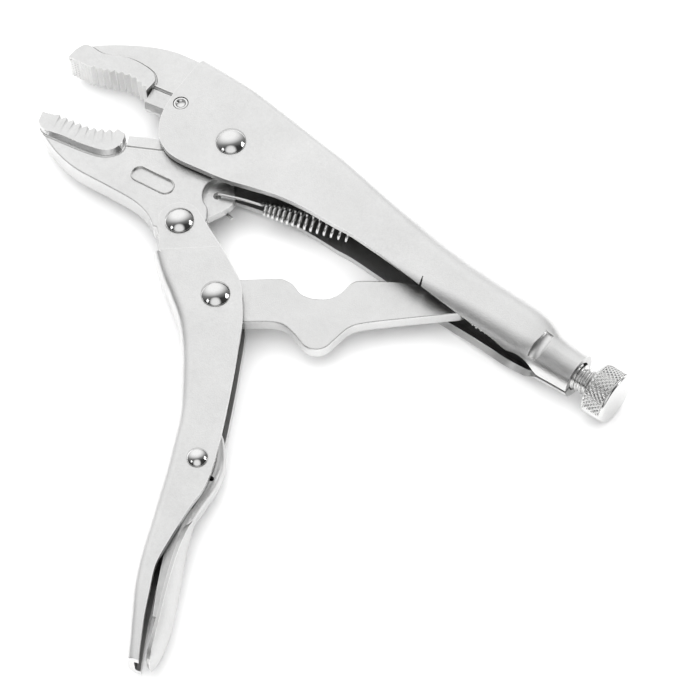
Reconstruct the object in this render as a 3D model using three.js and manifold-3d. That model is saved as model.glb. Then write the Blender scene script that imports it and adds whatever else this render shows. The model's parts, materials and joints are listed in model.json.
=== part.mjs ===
// Curved-jaw locking pliers, seven inches long, lying on their side with the jaws open.
// Millimetres. +X runs along the adjusting screw to its knob, +Y towards the back of the upper handle and
// +Z up, along the rivets. Every piece is drawn with the jaw pivot at X = Y = 0 and the tool's middle plane
// at Z = 0; the whole group is then moved so that its origin is the middle of its box, on the ground.
import * as THREE from 'three';
import { mergeVertices } from 'three/addons/utils/BufferGeometryUtils.js';
import Module from 'manifold-3d';

const wasm = await Module();
wasm.setup();

// Pivots
const JAW_PIVOT = [0, 0];
const LEVER_PIVOT = [4.5, -27.1];
const TOGGLE_PIVOT = [26.3, -39.2];
const RELEASE_PIVOT = [52.7, -79.3];
const STAKE_PIN = [-18.6, 1.9];
const SCREW_Y = -2.2;

// Sheet, forging and running sizes
const HANDLE_SHEET = 2.2;
const LEVER_SHEET = 2.0;
const RELEASE_SHEET = 1.5;
const JAW_HALF = 3.0;
const TOOTH_HALF = 4.2;
const TOGGLE_HALF = 1.85;
const EAR_INNER = 3.25;
const RIVET_RADIUS = 3.0;
const SMALL_RIVET_RADIUS = 2.0;
const RUNNING_GAP = 0.1;
const HEAD_GAP = 0.05;
const REST_DEPTH = 7.45;
const ROUND_SIDES = 24;

// Rivets: head radii, dome heights and how far from the middle plane each one's wall stands
const JAW_HEAD_RADIUS = 4.0;
const HEAD_RADIUS = 3.8;
const SMALL_HEAD_RADIUS = 2.7;
const DOME = 2.0;
const SMALL_DOME = 1.6;
const HANDLE_WALL = 5.6;
const EAR_WALL = EAR_INNER + LEVER_SHEET;
const LEVER_WALL = 5.4;
const PIN_END = 5.4;

// Lower jaw's details
const TAB_HALF = 1.2;
const RECESS_DEPTH = 0.4;
const RECESS_RADIUS = 2.3;
const RECESS_REACH = 4.0;
const RECESS_TILT = THREE.MathUtils.degToRad(6);
const RECESS_CENTRE = [-10.3, -20.4];

// Spring
const SPRING_HOOK = [5.8, -13.5];
const SPRING_EYE_RADIUS = 1.1;
const COIL_START = [17.6, -8.5];
const COIL_END = [42.0, -1.9];
const COIL_RADIUS = 2.0;
const WIRE_RADIUS = 0.4;
const SPRING_ANCHOR = [56.5, 3.2];

// Adjusting screw and knob
const SCREW_RADIUS = 3.6;
const SCREW_TIP_X = 81.4;
const KNOB_START_X = 118.6;
const KNOB_END_X = 125.4;
const KNOB_RADIUS = 6.8;
const KNOB_CHAMFER = 0.8;
const KNOB_GAP = 0.3;
const THREAD_PITCH = 1.4;
const THREAD_DEPTH = 0.6;
const THREAD_START_X = 112.6;
const BORE_START_X = 98;
const BORE_END_X = 120;

// Solids and meshes ------------------------------------------------------------------------------

function toSolid(geometry) {
  const bare = geometry.clone();
  bare.deleteAttribute('normal');
  bare.deleteAttribute('uv');
  const merged = mergeVertices(bare, 1e-4);
  return new wasm.Manifold(new wasm.Mesh({
    numProp: 3,
    vertProperties: new Float32Array(merged.attributes.position.array),
    triVerts: new Uint32Array(merged.index.array),
  }));
}

function toGeometry(solid) {
  const mesh = solid.getMesh();
  const geometry = new THREE.BufferGeometry();
  geometry.setAttribute('position', new THREE.BufferAttribute(mesh.vertProperties, 3));
  geometry.setIndex(new THREE.BufferAttribute(mesh.triVerts, 1));
  geometry.computeVertexNormals();
  return geometry;
}

const join = (...solids) => solids.reduce((all, solid) => all.add(solid));
const cut = (solid, ...tools) => tools.reduce((left, tool) => left.subtract(tool), solid);

// A flat shape made into a plate between two heights.
function plate(shape, low, high, segments = 3) {
  const geometry = new THREE.ExtrudeGeometry(shape, {
    depth: high - low, bevelEnabled: false, curveSegments: segments,
  });
  return toSolid(geometry.translate(0, 0, low));
}

// A round bar along Z through (x, y).
function bar([x, y], radius, low, high) {
  const geometry = new THREE.CylinderGeometry(radius, radius, high - low, ROUND_SIDES);
  return toSolid(geometry.rotateX(Math.PI / 2).translate(x, y, (low + high) / 2));
}

// A turned solid on a line parallel to X at height y; the profile is [distance along X, radius] pairs.
function turnedAlongX(profile, y, sides = ROUND_SIDES) {
  const points = profile.map(([along, radius]) => new THREE.Vector2(radius, along));
  const geometry = new THREE.LatheGeometry(points, sides);
  return toSolid(geometry.rotateZ(-Math.PI / 2).translate(0, y, 0));
}

const vectors = points => points.map(([x, y]) => new THREE.Vector2(x, y));

// Channels of folded sheet -----------------------------------------------------------------------

const LIP_STEPS = 3;
const CORNER_STEPS = 4;

// Half of a channel's section, from its open edge to the middle of its back, as [depth, z] pairs.
// "inset" is 0 for the outer skin and the sheet's thickness for the inner one.
function halfSection({ depth, half, corner, lip, sweep }, inset) {
  const points = [];
  const lipDepth = depth - lip * Math.sin(sweep);
  for (let i = 0; i <= LIP_STEPS; i += 1) {
    const angle = sweep * (1 - i / LIP_STEPS);
    const radius = lip - inset;
    points.push([lipDepth + radius * Math.sin(angle), half - lip + radius * Math.cos(angle)]);
  }
  for (let i = 0; i <= CORNER_STEPS; i += 1) {
    const angle = (Math.PI / 2) * (i / CORNER_STEPS);
    const radius = corner - inset;
    points.push([corner - radius * Math.sin(angle), half - corner + radius * Math.cos(angle)]);
  }
  return points;
}

// The closed outline of a channel's section: the outer skin one way and the inner skin back.
function sectionRing(station, sheet) {
  const mirrored = points => points.map(([depth, z]) => [depth, -z]);
  const outer = halfSection(station, 0);
  const inner = halfSection(station, sheet);
  return [...outer, ...mirrored(outer).reverse(), ...mirrored(inner), ...inner.reverse()];
}

// A channel lofted through stations of [back, edge, half width, corner radius, lip radius, lip sweep in
// degrees]; "back" and "edge" are the points of the outer back and of the open edge in the middle plane.
function channel(rows, sheet) {
  const rings = [];
  const contours = [];
  for (const [back, edge, half, corner, lip = sheet + 0.6, sweepDegrees = 3] of rows) {
    const from = new THREE.Vector2(...back);
    const along = new THREE.Vector2(...edge).sub(from);
    const station = {
      depth: along.length(), half, corner, lip, sweep: THREE.MathUtils.degToRad(sweepDegrees),
    };
    along.normalize();
    const ring = sectionRing(station, sheet);
    contours.push(ring);
    rings.push(ring.map(([d, z]) => [from.x + along.x * d, from.y + along.y * d, z]));
  }
  return loft(rings, contours);
}

// A closed solid through equal rings of points, capped at both ends.
function loft(rings, contours) {
  const count = rings[0].length;
  const last = rings.length - 1;
  const index = [];
  for (let i = 0; i < last; i += 1) {
    for (let j = 0; j < count; j += 1) {
      const a = i * count + j;
      const b = i * count + ((j + 1) % count);
      index.push(a, b, b + count, a, b + count, a + count);
    }
  }
  const cap = (contour, base, flip) => {
    for (const [a, b, c] of THREE.ShapeUtils.triangulateShape(vectors(contour), [])) {
      index.push(base + a, base + (flip ? c : b), base + (flip ? b : c));
    }
  };
  cap(contours[0], 0, true);
  cap(contours[last], last * count, false);
  const geometry = new THREE.BufferGeometry();
  geometry.setAttribute('position', new THREE.Float32BufferAttribute(rings.flat(2), 3));
  geometry.setIndex(facingOut(rings.flat(), index));
  return toSolid(geometry);
}

// The triangles, turned over if they enclose a negative volume.
function facingOut(points, index) {
  let volume = 0;
  for (let i = 0; i < index.length; i += 3) {
    const [a, b, c] = [0, 1, 2].map(k => new THREE.Vector3(...points[index[i + k]]));
    volume += a.dot(b.cross(c));
  }
  return volume < 0 ? index.toReversed() : index;
}

// Teeth ------------------------------------------------------------------------------------------

// A line of pointed teeth along a smooth curve; they stand to the left of its direction when depth > 0.
function toothed(curve, count, depth) {
  const points = [];
  for (let i = 0; i <= count * 2; i += 1) {
    const at = i / (count * 2);
    const point = curve.getPointAt(at);
    const along = curve.getTangentAt(at);
    const rise = i % 2 ? depth : 0;
    points.push(new THREE.Vector2(point.x - along.y * rise, point.y + along.x * rise));
  }
  return points;
}

// A cutter's wedge: a blunt edge from one point to another, widening over "height" to the jaw's sides.
function cutterWedge([x0, y0], [x1, y1], height) {
  const run = new THREE.Vector2(x1 - x0, y1 - y0);
  const blunt = 0.35;
  const section = new THREE.Shape(vectors([
    [0, -blunt], [0, blunt], [height, JAW_HALF], [height + 2, JAW_HALF],
    [height + 2, -JAW_HALF], [height, -JAW_HALF],
  ]));
  const geometry = new THREE.ExtrudeGeometry(section, { depth: run.length(), bevelEnabled: false });
  const forward = new THREE.Vector3(run.x, run.y, 0).normalize();
  const side = new THREE.Vector3(0, 0, 1);
  const down = side.clone().cross(forward);
  geometry.applyMatrix4(new THREE.Matrix4().makeBasis(down, side, forward));
  return toSolid(geometry.translate(x0, y0, 0));
}

// Pieces -----------------------------------------------------------------------------------------

const pivotHole = (centre, radius) => bar(centre, radius + RUNNING_GAP, -20, 20);

// One pressed sheet: flat cheeks at the jaws, a channel, then a tube drawn down to the threaded neck.
function upperHandle() {
  const straight = [HANDLE_SHEET + 0.6, 3];
  const rows = [
    // x, back, open edge, half width, corner radius, lip radius, lip sweep
    [-25, 17.6, -15, 5.5, 2.8, ...straight],
    [-8, 17.8, -15, 5.5, 2.8, ...straight],
    [4, 16.5, -15, 5.6, 2.8, ...straight],
    [16, 15.0, -15, 6.0, 3.0, ...straight],
    [28, 13.5, -8, 6.6, 3.3, ...straight],
    [40, 11.6, -5.4, 7.0, 4.2, ...straight],
    [50, 10.3, -5.5, 7.0, 5.0, 3.0, 5],
    [60, 9.2, -6.4, 7.0, 5.9, 4.0, 16],
    [70, 8.4, -7.3, 7.0, 6.6, 5.0, 32],
    [80, 8.0, -7.9, 7.0, 6.9, 6.0, 46],
    [90, 7.7, -8.3, 7.0, 6.9, 6.5, 56],
    [96, 7.4, -8.5, 6.9, 6.8, 6.6, 66],
    [99.5, 6.6, -8.7, 6.7, 6.6, 6.5, 76],
    [102, 5.2, -8.7, 6.5, 6.4, 6.3, 84],
    [104.5, 4.3, -8.5, 6.3, 6.2, 6.2, 86],
    [109, 3.8, -8.2, 6.0, 5.95, 5.95, 86],
    [113.6, 3.6, -8.0, 5.8, 5.75, 5.75, 86],
  ];
  const stations = rows.map(([x, back, edge, ...rest]) => [[x, back], [x, edge], ...rest]);
  const body = channel(stations, HANDLE_SHEET);

  const side = new THREE.Shape();
  side.moveTo(-22.9, 20);
  side.lineTo(-22.9, 13.5);
  side.splineThru(vectors([
    [-22.6, 8], [-22.0, 2], [-20.3, -4.2], [-16.9, -9.4], [-12.5, -12.0], [-8, -12.5],
  ]));
  side.splineThru(vectors([[-2, -11.7], [6, -10.4], [14, -8.2], [21, -6.5], [30, -5.6]]));
  side.lineTo(45, -5.4);
  side.lineTo(45, -20);
  side.lineTo(130, -20);
  side.lineTo(130, 20);

  const anchor = new THREE.BoxGeometry(1.4, 6.5, 2.4);
  anchor.translate(SPRING_ANCHOR[0] + 1.6, SPRING_ANCHOR[1] + 2.2, 0);
  const boreRadius = SCREW_RADIUS + RUNNING_GAP;
  const bore = [[BORE_START_X, 0], [BORE_START_X, boreRadius], [BORE_END_X, boreRadius], [BORE_END_X, 0]];
  return cut(
    join(body.intersect(plate(side, -20, 20, 2)), toSolid(anchor)),
    pivotHole(JAW_PIVOT, RIVET_RADIUS),
    pivotHole(STAKE_PIN, SMALL_RIVET_RADIUS),
    turnedAlongX(bore, SCREW_Y),
  );
}

// Forging staked into the front of the upper handle: body, wide tooth block and cutter.
function upperJaw() {
  const nose = [-53.5, -3.4];
  const toothLine = new THREE.SplineCurve(
    vectors([[-29.4, 0.3], [-34, 1.3], [-38.5, 0.5], [-42.5, -1.3], [-46.5, -2.6]]),
  );
  const teeth = toothed(toothLine, 9, -0.75);
  const noseLine = new THREE.LineCurve(teeth.at(-1), new THREE.Vector2(...nose));
  const fine = toothed(noseLine, 8, -0.35);

  const body = new THREE.Shape();
  body.moveTo(...nose);
  body.lineTo(-53.6, -0.6);
  body.splineThru(vectors([
    [-52, 3.2], [-47.5, 7.2], [-42, 10.9], [-36.5, 13.8], [-31, 15.7], [-23.4, 16.8],
  ]));
  body.lineTo(-23.2, 15.0);
  body.lineTo(-4, 14.2);
  body.absarc(...JAW_PIVOT, 8.7, THREE.MathUtils.degToRad(117), THREE.MathUtils.degToRad(172), false);
  body.lineTo(-18.5, -1.4);
  body.lineTo(-28, 1.2);
  body.lineTo(-30.5, 2.4);
  body.lineTo(-46, -1);

  const block = new THREE.Shape([...teeth, ...fine.slice(1)]);
  block.lineTo(-53.6, -0.6);
  block.lineTo(-52.2, 2.8);
  block.splineThru(vectors([
    [-47.5, 2.9], [-44.6, 3.8], [-40.7, 5.7], [-36.6, 6.4], [-32.3, 6.1], [-29.6, 3.6],
  ]));

  return cut(
    join(
      plate(body, -JAW_HALF, JAW_HALF),
      plate(block, -TOOTH_HALF, TOOTH_HALF, 2),
      cutterWedge([-28.6, -2.1], [-18.9, -0.8], 3.2),
    ),
    pivotHole(STAKE_PIN, SMALL_RIVET_RADIUS),
  );
}

// Forging that turns on the jaw pivot: hub, body, tooth block, cutter, oval recess and spring tab.
function lowerJaw() {
  const body = new THREE.Shape();
  body.moveTo(-46.9, -22.4);
  body.splineThru(vectors([
    [-46.2, -24.6], [-41.4, -26.8], [-36, -28.6], [-29, -29.5], [-18.7, -28.8], [-10.5, -28.4], [-5, -29.4],
    [-0.9, -31.6],
  ]));
  body.absarc(...LEVER_PIVOT, 6.2, THREE.MathUtils.degToRad(220), THREE.MathUtils.degToRad(400), false);
  body.lineTo(2.6, -17.6);
  body.absarc(6.2, -13.2, 5.0, THREE.MathUtils.degToRad(228), THREE.MathUtils.degToRad(125), true);
  body.absarc(...JAW_PIVOT, 7.4, THREE.MathUtils.degToRad(-40), THREE.MathUtils.degToRad(205), false);
  body.lineTo(-12.6, -11.0);
  body.lineTo(-23.6, -15.6);
  body.lineTo(-26.6, -17.5);
  body.lineTo(-44, -22);

  const toothLine = new THREE.SplineCurve(
    vectors([[-44.2, -20.1], [-39.5, -19.3], [-34.3, -18.4], [-29.8, -16.4], [-26.2, -13.7]]),
  );
  const teeth = toothed(toothLine, 9, 0.75);
  const noseLine = new THREE.LineCurve(new THREE.Vector2(-47.5, -21.2), teeth[0]);
  const fine = toothed(noseLine, 4, 0.3);
  const block = new THREE.Shape([...fine, ...teeth.slice(1)]);
  block.lineTo(-24.4, -14.0);
  block.lineTo(-23.6, -17.6);
  block.splineThru(vectors([[-26, -21.4], [-31.2, -23.0], [-38.9, -24.2], [-43.5, -25.4], [-46.4, -24.6]]));

  const tab = new THREE.Shape();
  tab.moveTo(0, -9);
  tab.lineTo(8.4, -9.2);
  tab.absarc(6.6, -13.4, 4.4, THREE.MathUtils.degToRad(66), THREE.MathUtils.degToRad(-20), true);
  tab.lineTo(8.2, -19.8);
  tab.lineTo(0, -22);

  const recess = new THREE.Shape();
  const [middleX, middleY] = RECESS_CENTRE;
  const [ovalX, ovalY] = [RECESS_REACH * Math.cos(RECESS_TILT), RECESS_REACH * Math.sin(RECESS_TILT)];
  const [right, left] = [RECESS_TILT - Math.PI / 2, RECESS_TILT + Math.PI / 2];
  recess.absarc(middleX + ovalX, middleY + ovalY, RECESS_RADIUS, right, left, false);
  recess.absarc(middleX - ovalX, middleY - ovalY, RECESS_RADIUS, left, right + 2 * Math.PI, false);

  return cut(
    join(
      plate(body, -JAW_HALF, JAW_HALF),
      plate(block, -TOOTH_HALF, TOOTH_HALF, 2),
      plate(tab, -TAB_HALF, TAB_HALF),
      cutterWedge([-18.3, -7.6], [-25.4, -11.8], 3.4),
    ),
    plate(recess, JAW_HALF - RECESS_DEPTH, JAW_HALF + 1),
    pivotHole(JAW_PIVOT, RIVET_RADIUS),
    pivotHole(LEVER_PIVOT, RIVET_RADIUS),
    bar(SPRING_HOOK, SPRING_EYE_RADIUS, -5, 5),
  );
}

// Pressed channel, open towards the upper handle, with two ears that straddle the lower jaw.
function leverHandle() {
  const body = channel([
    [[4.6, -38.2], [18.3, -27.0], 5.4, 3.2],
    [[10.5, -42.6], [28.6, -32.3], 5.4, 3.2],
    [[16.9, -46.6], [32.6, -36.2], 5.4, 3.2],
    [[22.6, -50.6], [37.0, -41.6], 5.4, 3.2],
    [[28.3, -56.2], [41.4, -49.0], 5.4, 3.2],
    [[33.7, -62.9], [46.1, -57.2], 5.4, 3.2],
    [[39.9, -71.3], [51.2, -66.6], 5.4, 3.2],
    [[44.3, -79.6], [56.8, -77.6], 5.4, 3.2],
    [[47.5, -86.0], [59.3, -84.6], 5.4, 3.2],
    [[50.3, -92.2], [60.0, -91.4], 5.4, 3.2],
    [[54.3, -100.9], [61.5, -100.6], 5.4, 3.0],
    [[57.9, -108.7], [63.2, -108.4], 5.4, 2.8],
    [[61.8, -115.8], [66.8, -115.4], 5.3, 2.7],
    [[66.0, -121.9], [70.0, -121.3], 5.0, 2.6],
    [[70.0, -127.7], [73.4, -126.8], 4.6, 2.6],
    [[72.6, -131.6], [75.8, -130.6], 4.2, 2.6],
  ], LEVER_SHEET);

  const ear = new THREE.Shape();
  ear.moveTo(12.0, -38.0);
  ear.lineTo(20.2, -28.4);
  ear.lineTo(18.4, -27.0);
  ear.absarc(...LEVER_PIVOT, 5.7, THREE.MathUtils.degToRad(60), THREE.MathUtils.degToRad(200), false);
  ear.lineTo(6.0, -37.4);
  const ears = [1, -1].map(side => {
    const heights = [side * EAR_INNER, side * (EAR_INNER + LEVER_SHEET)].sort((a, b) => a - b);
    return plate(ear, ...heights, 5);
  });
  return cut(
    join(body, ...ears),
    pivotHole(LEVER_PIVOT, RIVET_RADIUS),
    pivotHole(TOGGLE_PIVOT, RIVET_RADIUS),
    pivotHole(RELEASE_PIVOT, SMALL_RIVET_RADIUS),
  );
}

// Stamped bar from the lever handle to the tip of the adjusting screw, with its dip and its bulge.
function toggleLink() {
  const bulge = [53.2, -32.0];
  const tip = [76.3, -3.4];
  const shape = new THREE.Shape();
  shape.absarc(...TOGGLE_PIVOT, 6.4, THREE.MathUtils.degToRad(120), THREE.MathUtils.degToRad(290), false);
  shape.lineTo(35.9, -40.0);
  shape.splineThru(vectors([[41.0, -36.3], [44.4, -34.8], [48.0, -35.2], [51.5, -36.2]]));
  shape.absarc(...bulge, 4.6, THREE.MathUtils.degToRad(-110), THREE.MathUtils.degToRad(0), false);
  shape.splineThru(vectors([[58.1, -29.3], [58.8, -25.6], [61.2, -22.2], [69.2, -14.6]]));
  shape.absarc(...tip, 3.5, THREE.MathUtils.degToRad(-40), THREE.MathUtils.degToRad(120), false);
  shape.lineTo(60.6, -7.1);
  shape.splineThru(vectors([[53.0, -12.2], [51.1, -14.4], [50.6, -18.4], [49.2, -21.6], [45.8, -24.0]]));
  shape.splineThru(vectors([[42.4, -24.7], [38.8, -23.6], [35.6, -23.9]]));
  return cut(plate(shape, -TOGGLE_HALF, TOGGLE_HALF), pivotHole(TOGGLE_PIVOT, RIVET_RADIUS));
}

// Pressed release lever: cheeks on its rivet inside the lever handle, then a leaf-shaped thumb pad.
function releaseLever() {
  const body = channel([
    [[48.6, -67.0], [43.8, -69.0], 2.95, 2.2],
    [[53.6, -70.2], [44.6, -73.6], 2.95, 2.2],
    [[58.2, -75.6], [47.6, -78.6], 2.95, 2.2],
    [[60.3, -81.2], [50.2, -83.2], 2.95, 2.2],
    [[61.0, -87.0], [53.6, -88.2], 2.95, 2.2],
    [[61.6, -91.6], [56.8, -92.4], 2.95, 2.2],
    [[62.6, -95.4], [60.5, -96.2], 2.95, 2.2],
    [[64.8, -100.5], [62.8, -101.4], 4.2, 2.1],
    [[70.0, -110.0], [67.6, -111.4], 5.6, 2.1],
    [[74.2, -117.8], [71.8, -119.2], 6.1, 2.1],
    [[77.2, -124.8], [74.9, -126.0], 5.2, 2.1],
    [[78.8, -128.6], [76.7, -129.7], 3.2, 2.1],
  ], RELEASE_SHEET);
  return cut(body, pivotHole(RELEASE_PIVOT, SMALL_RIVET_RADIUS));
}

// A rivet with a domed head on top and a flatter formed head underneath, just clear of the walls it holds.
function rivet(radius, head, wall, dome) {
  const seat = wall + HEAD_GAP;
  const flat = head * 0.72;
  const profile = [[0, -REST_DEPTH], [flat, -REST_DEPTH], [head, -seat - 0.6], [head, -seat], [radius, -seat],
    [radius, seat], [head, seat], [head, seat + 0.3]];
  const steps = 5;
  for (let i = 1; i <= steps; i += 1) {
    const angle = (Math.PI / 2) * (i / steps);
    profile.push([i === steps ? 0 : head * Math.cos(angle), seat + 0.3 + (dome - 0.3) * Math.sin(angle)]);
  }
  const points = vectors(profile);
  return toSolid(new THREE.LatheGeometry(points, ROUND_SIDES).rotateX(Math.PI / 2));
}

// A plain pin flush with the cheeks of the upper handle, with a dimple where it is staked.
function stakePin() {
  const [radius, rim] = [SMALL_RIVET_RADIUS, 1.3];
  const dimple = PIN_END - 0.6;
  const points = vectors([
    [0, -dimple], [rim, -PIN_END], [radius, -PIN_END], [radius, PIN_END], [rim, PIN_END], [0, dimple],
  ]);
  return toSolid(new THREE.LatheGeometry(points, ROUND_SIDES).rotateX(Math.PI / 2));
}

// The threaded shank, its crests and roots drawn as rings at the thread's pitch where it shows.
function adjustingScrew() {
  const root = SCREW_RADIUS - THREAD_DEPTH;
  const end = KNOB_START_X - KNOB_GAP;
  const profile = [[SCREW_TIP_X, 0], [SCREW_TIP_X, 2.0], [SCREW_TIP_X + 1.2, root]];
  for (let x = THREAD_START_X; x + THREAD_PITCH < end - 0.1; x += THREAD_PITCH) {
    profile.push([x, root], [x + THREAD_PITCH / 2, SCREW_RADIUS]);
  }
  profile.push([end - 0.1, root], [end, root], [end, 0]);
  return turnedAlongX(profile, SCREW_Y);
}

// The knurled knob: its diamonds are too fine for this solid, which is their outer size.
function knob() {
  return turnedAlongX([
    [KNOB_START_X, 0], [KNOB_START_X, KNOB_RADIUS - KNOB_CHAMFER], [KNOB_START_X + KNOB_CHAMFER, KNOB_RADIUS],
    [KNOB_END_X - KNOB_CHAMFER, KNOB_RADIUS], [KNOB_END_X, KNOB_RADIUS - KNOB_CHAMFER], [KNOB_END_X, 0],
  ], SCREW_Y, 32);
}

// The return spring: the sleeve that its coil fills, a leg hooked through the jaw's tab and one to the
// anchor.
function returnSpring() {
  const start = new THREE.Vector3(...COIL_START, 0);
  const end = new THREE.Vector3(...COIL_END, 0);
  const length = start.distanceTo(end);
  const wall = 2 * WIRE_RADIUS;
  const sleeve = new THREE.LatheGeometry(vectors([
    [COIL_RADIUS - wall, 0], [COIL_RADIUS, 0], [COIL_RADIUS, length], [COIL_RADIUS - wall, length],
    [COIL_RADIUS - wall, 0],
  ]), 12);
  sleeve.rotateZ(Math.atan2(end.y - start.y, end.x - start.x) - Math.PI / 2).translate(start.x, start.y, 0);
  const wire = new THREE.Shape().absarc(0, 0, WIRE_RADIUS, 0, 2 * Math.PI);
  const leg = (points, steps) => toSolid(new THREE.ExtrudeGeometry(wire, {
    steps,
    curveSegments: 3,
    extrudePath: new THREE.CatmullRomCurve3(points.map(p => new THREE.Vector3(...p))),
  }));
  const rim = COIL_RADIUS - WIRE_RADIUS;
  return join(
    toSolid(sleeve),
    leg([[start.x + 0.8, start.y + 0.1, rim], [12, -10.9, 2.3], [7.0, -13.1, 2.3], [5.8, -13.5, 1.2],
      [5.8, -13.5, -1.2], [7.2, -13.3, -2.3], [10.6, -12.8, -2.2]], 18),
    leg([[end.x - 0.8, end.y - 0.1, rim], [51.5, -0.4, 1.5], [SPRING_ANCHOR[0], 3.0, 1.9],
      [SPRING_ANCHOR[0] + 2.2, 3.4, 1.9]], 10),
  );
}

// Assembly ---------------------------------------------------------------------------------------

const satinNickel = { color: 0xc9c9c8, roughness: 0.42, metalness: 0.9 };
const brightNickel = { color: 0xd4d4d2, roughness: 0.15, metalness: 1.0 };
const forgedNickel = { color: 0xc4c4c2, roughness: 0.5, metalness: 0.85 };
const springSteel = { color: 0xb9b9b7, roughness: 0.3, metalness: 0.95 };

function piece(name, solid, look, [x, y] = [0, 0]) {
  const mesh = new THREE.Mesh(toGeometry(solid), new THREE.MeshStandardMaterial(look));
  mesh.name = name;
  mesh.position.set(x, y, 0);
  return mesh;
}

const upperAssembly = new THREE.Group().add(
  piece('upper_handle', upperHandle(), satinNickel),
  piece('upper_jaw', upperJaw(), forgedNickel),
  piece('stake_pin', stakePin(), brightNickel, STAKE_PIN),
  piece(
    'jaw_pivot_rivet',
    rivet(RIVET_RADIUS, JAW_HEAD_RADIUS, HANDLE_WALL, DOME),
    brightNickel,
    JAW_PIVOT,
  ),
);
const lowerAssembly = new THREE.Group().add(
  piece('lower_jaw', lowerJaw(), forgedNickel),
  piece('lever_pivot_rivet', rivet(RIVET_RADIUS, HEAD_RADIUS, EAR_WALL, DOME), brightNickel, LEVER_PIVOT),
);
const leverAssembly = new THREE.Group().add(
  piece('lever_handle', leverHandle(), satinNickel),
  piece('toggle_pivot_rivet', rivet(RIVET_RADIUS, HEAD_RADIUS, LEVER_WALL, DOME), brightNickel, TOGGLE_PIVOT),
  piece(
    'release_pivot_rivet',
    rivet(SMALL_RIVET_RADIUS, SMALL_HEAD_RADIUS, LEVER_WALL, SMALL_DOME),
    brightNickel,
    RELEASE_PIVOT,
  ),
);
const screwAssembly = new THREE.Group().add(
  piece('adjusting_screw', adjustingScrew(), brightNickel),
  piece('knurled_knob', knob(), brightNickel),
);

const pliers = new THREE.Group();
pliers.add(
  upperAssembly,
  lowerAssembly,
  leverAssembly,
  piece('toggle_link', toggleLink(), satinNickel),
  piece('release_lever', releaseLever(), satinNickel),
  screwAssembly,
  piece('return_spring', returnSpring(), springSteel),
);
const size = new THREE.Box3().setFromObject(pliers);
const middle = size.getCenter(new THREE.Vector3());
pliers.position.set(-middle.x, -middle.y, -size.min.z);

export default pliers;
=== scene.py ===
"""Locking pliers: the finished look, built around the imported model.

Outlines are in millimetres in the tool's middle plane, with the jaw pivot at (0, 0), X along the adjusting
screw and Z up along the rivets; ORIGIN and MM turn them into the frame's metres.
"""
import json
import math

import bmesh
import bpy
from mathutils import Matrix, Vector


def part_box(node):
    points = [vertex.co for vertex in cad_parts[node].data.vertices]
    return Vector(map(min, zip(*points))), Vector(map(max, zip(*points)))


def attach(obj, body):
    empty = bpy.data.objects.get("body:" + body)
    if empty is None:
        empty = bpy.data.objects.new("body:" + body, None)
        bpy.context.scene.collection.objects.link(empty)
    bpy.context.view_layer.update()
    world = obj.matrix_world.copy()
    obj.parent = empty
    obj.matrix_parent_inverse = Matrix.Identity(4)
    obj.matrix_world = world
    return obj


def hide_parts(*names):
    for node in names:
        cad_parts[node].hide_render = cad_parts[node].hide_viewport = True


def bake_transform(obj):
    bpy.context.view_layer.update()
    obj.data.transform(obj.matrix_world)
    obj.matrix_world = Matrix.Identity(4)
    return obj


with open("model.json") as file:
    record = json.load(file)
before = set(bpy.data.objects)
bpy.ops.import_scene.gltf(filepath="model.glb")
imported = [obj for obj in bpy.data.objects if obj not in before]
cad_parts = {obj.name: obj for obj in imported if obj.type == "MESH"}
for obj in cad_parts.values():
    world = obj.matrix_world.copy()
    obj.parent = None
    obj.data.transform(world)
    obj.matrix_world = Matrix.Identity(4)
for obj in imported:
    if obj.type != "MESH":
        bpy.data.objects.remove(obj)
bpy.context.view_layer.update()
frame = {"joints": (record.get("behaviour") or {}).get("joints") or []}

MM = 0.001
JOINTS = {joint["name"]: joint for joint in frame["joints"]}
ORIGIN = Vector(JOINTS["jaw_pivot"]["pos_m"])


def flat_place(metres):
    """A point of the frame as (x, y) in millimetres from the jaw pivot."""
    offset = (Vector(metres) - ORIGIN) / MM
    return offset.x, offset.y


def centre_of(node):
    """The middle of a node's box."""
    low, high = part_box(node)
    return (Vector(low) + Vector(high)) / 2


JAW_PIVOT = (0.0, 0.0)
LEVER_PIVOT = flat_place(JOINTS["lever_pivot"]["pos_m"])
TOGGLE_PIVOT = flat_place(JOINTS["toggle_pivot"]["pos_m"])
RELEASE_PIVOT = flat_place(JOINTS["release_pivot"]["pos_m"])
STAKE_PIN = flat_place(centre_of("stake_pin"))
SCREW_Y = flat_place(centre_of("adjusting_screw"))[1]
SCREW_START = flat_place(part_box("adjusting_screw")[0])[0]
KNOB_START = flat_place(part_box("knurled_knob")[0])[0]
KNOB_END = flat_place(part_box("knurled_knob")[1])[0]
REST_DEPTH = ORIGIN.z / MM

# Thicknesses of sheet, half widths, radii and gaps.
HANDLE_SHEET = 1.8
LEVER_SHEET = 1.9
RELEASE_SHEET = 1.5
JAW_HALF = 3.0
TOOTH_HALF = 4.2
TOGGLE_HALF = 1.85
EAR_INNER = 3.25
RIVET_RADIUS = 3.0
SMALL_RIVET_RADIUS = 2.0
SCREW_RADIUS = 3.6
RUNNING_GAP = 0.1
HEAD_GAP = 0.05

# Half the height of cutters that go right through the tool, and the sizes that tidy a mesh.
THROUGH = 20
WELD_METRES = 1e-6
SHORTEST_EDGE = 0.004
SHARP_DEGREES = 32


# Outlines -----------------------------------------------------------------------------------------

def between(a, b, c, d, t):
    """The value of a Catmull-Rom curve at the share t of the way from b to c."""
    bend = 2 * a - 5 * b + 4 * c - d
    twist = 3 * b - a - 3 * c + d
    return 0.5 * (2 * b + (c - a) * t + bend * t * t + twist * t ** 3)


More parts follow.
